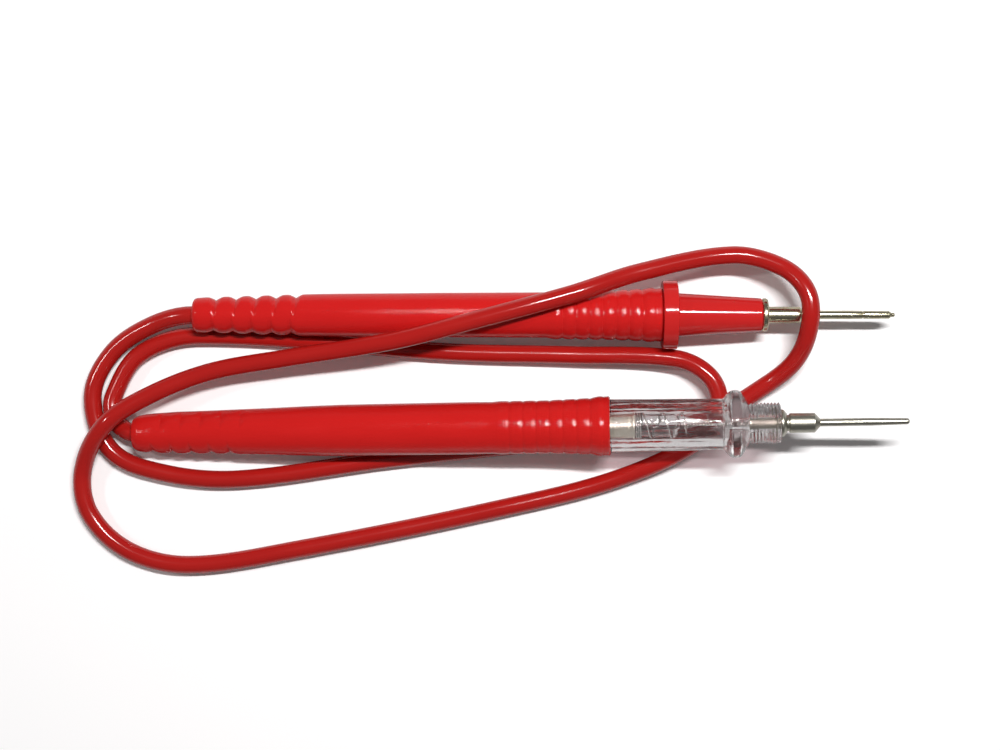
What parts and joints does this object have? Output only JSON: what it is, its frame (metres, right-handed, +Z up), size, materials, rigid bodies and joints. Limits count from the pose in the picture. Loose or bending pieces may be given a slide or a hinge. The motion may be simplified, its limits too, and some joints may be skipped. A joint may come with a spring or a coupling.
{
  "type": "two-probe continuity tester",
  "caption": "Continuity tester: a lamp probe with a clear nose and a plain return probe, both with ribbed red grips, joined by one loosely looped red lead.",
  "frame": {"origin": "middle of the two probes' box on the table that they lie on, the lead left out", "axes": "+X along the probes towards their pins, +Y from the lamp probe to the return probe, +Z up from the table"},
  "size_m": [0.1977, 0.0785, 0.0235],
  "materials": {
    "red_grip": "soft moulded vinyl, satin",
    "red_nose": "glossy moulding",
    "plated_brass": "turned, thinly plated, worn to a yellow tone",
    "plated_steel": "turned and nickel plated",
    "clear_plastic": "clear moulded plastic",
    "lamp_glass": "thin blown glass",
    "black_insulator": "dark fired glass",
    "solder": "bright solder",
    "spring_steel": "drawn wire",
    "brass": "stamped sheet",
    "copper": "bare twisted strands",
    "cell_can": "plain sleeve",
    "wire_jacket": "extruded vinyl",
    "lead_jacket": "glossy extruded vinyl"
  },
  "bodies": {
    "root": {"return_handle": "red_grip", "return_nose": "red_nose", "return_tip": "plated_brass", "return_wire": "wire_jacket", "return_strands": "copper", "return_solder": "solder", "tester_handle": "red_grip", "clear_nose": "clear_plastic", "tester_tip": "plated_steel", "lamp_holder": "plated_brass", "lamp_cap": "plated_brass", "lamp_insulator": "black_insulator", "lamp_contact": "solder", "lamp_glass": "lamp_glass", "lamp_wires": "spring_steel", "lamp_bead": "lamp_glass", "lamp_filament": "spring_steel", "lamp_spring": "spring_steel", "battery_cell": "cell_can", "battery_spring": "spring_steel", "rear_contact": "brass", "tester_wire": "wire_jacket", "tester_strands": "copper", "tester_solder": "solder", "lead": "lead_jacket"}
  },
  "joints": []
}
